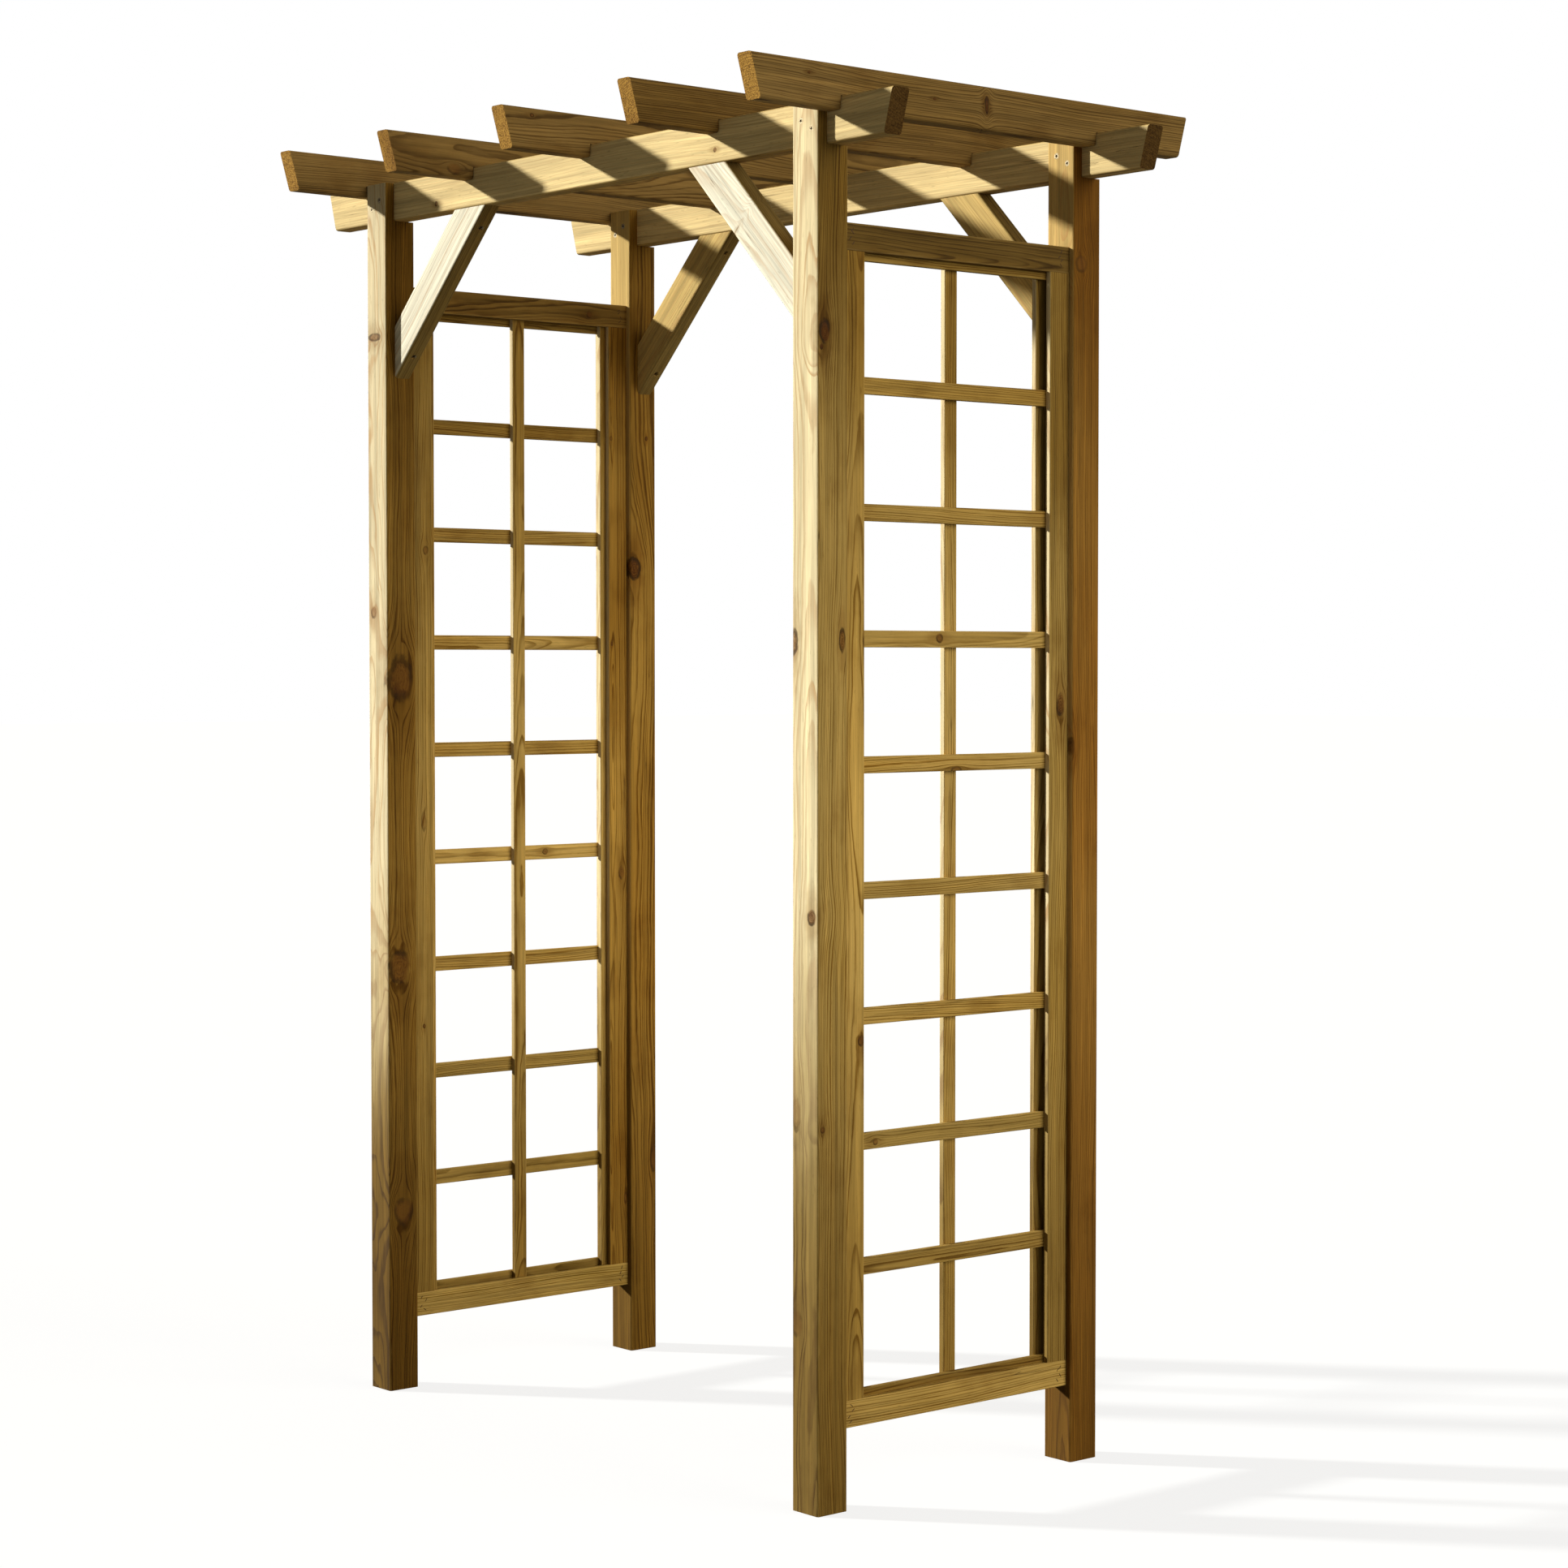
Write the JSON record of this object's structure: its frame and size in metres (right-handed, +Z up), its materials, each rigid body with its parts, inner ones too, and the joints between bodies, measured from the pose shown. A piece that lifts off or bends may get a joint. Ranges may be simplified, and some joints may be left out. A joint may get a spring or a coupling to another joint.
{
  "type": "garden arch",
  "caption": "Timber garden arch: notched rafters over beams on square posts, with corner braces and trellis sides.",
  "frame": {"origin": "on the ground, under the middle of the roof", "axes": "+X to the right across the walkway as seen from the front, +Y along the walkway to the back, +Z up"},
  "size_m": [1.505, 0.924, 2.179],
  "materials": {
    "posts": "planed pressure-treated softwood",
    "beams": "planed pressure-treated softwood",
    "rafters": "planed pressure-treated softwood, sawn ends",
    "braces": "planed pressure-treated softwood",
    "trellis": "planed pressure-treated softwood",
    "screws": "yellow zinc plated"
  },
  "bodies": {
    "root": {"beam_back": "beams", "beam_front": "beams", "brace_back_left": "braces", "brace_back_right": "braces", "brace_front_left": "braces", "brace_front_right": "braces", "brace_screws": "screws", "left_cross_lath_1": "trellis", "left_cross_lath_10": "trellis", "left_cross_lath_2": "trellis", "left_cross_lath_3": "trellis", "left_cross_lath_4": "trellis", "left_cross_lath_5": "trellis", "left_cross_lath_6": "trellis", "left_cross_lath_7": "trellis", "left_cross_lath_8": "trellis", "left_cross_lath_9": "trellis", "left_inner_back_stile": "trellis", "left_inner_bottom_rail": "trellis", "left_inner_front_stile": "trellis", "left_inner_top_rail": "trellis", "left_outer_back_stile": "trellis", "left_outer_bottom_rail": "trellis", "left_outer_front_stile": "trellis", "left_outer_top_rail": "trellis", "left_upright_lath_back": "trellis", "left_upright_lath_front": "trellis", "left_upright_lath_middle": "trellis", "post_back_left": "posts", "post_back_right": "posts", "post_front_left": "posts", "post_front_right": "posts", "rafter_1": "rafters", "rafter_2": "rafters", "rafter_3": "rafters", "rafter_4": "rafters", "rafter_5": "rafters", "rafter_screws": "screws", "right_cross_lath_1": "trellis", "right_cross_lath_10": "trellis", "right_cross_lath_2": "trellis", "right_cross_lath_3": "trellis", "right_cross_lath_4": "trellis", "right_cross_lath_5": "trellis", "right_cross_lath_6": "trellis", "right_cross_lath_7": "trellis", "right_cross_lath_8": "trellis", "right_cross_lath_9": "trellis", "right_inner_back_stile": "trellis", "right_inner_bottom_rail": "trellis", "right_inner_front_stile": "trellis", "right_inner_top_rail": "trellis", "right_outer_back_stile": "trellis", "right_outer_bottom_rail": "trellis", "right_outer_front_stile": "trellis", "right_outer_top_rail": "trellis", "right_upright_lath_back": "trellis", "right_upright_lath_front": "trellis", "right_upright_lath_middle": "trellis", "tongue_screws": "screws"}
  },
  "joints": []
}
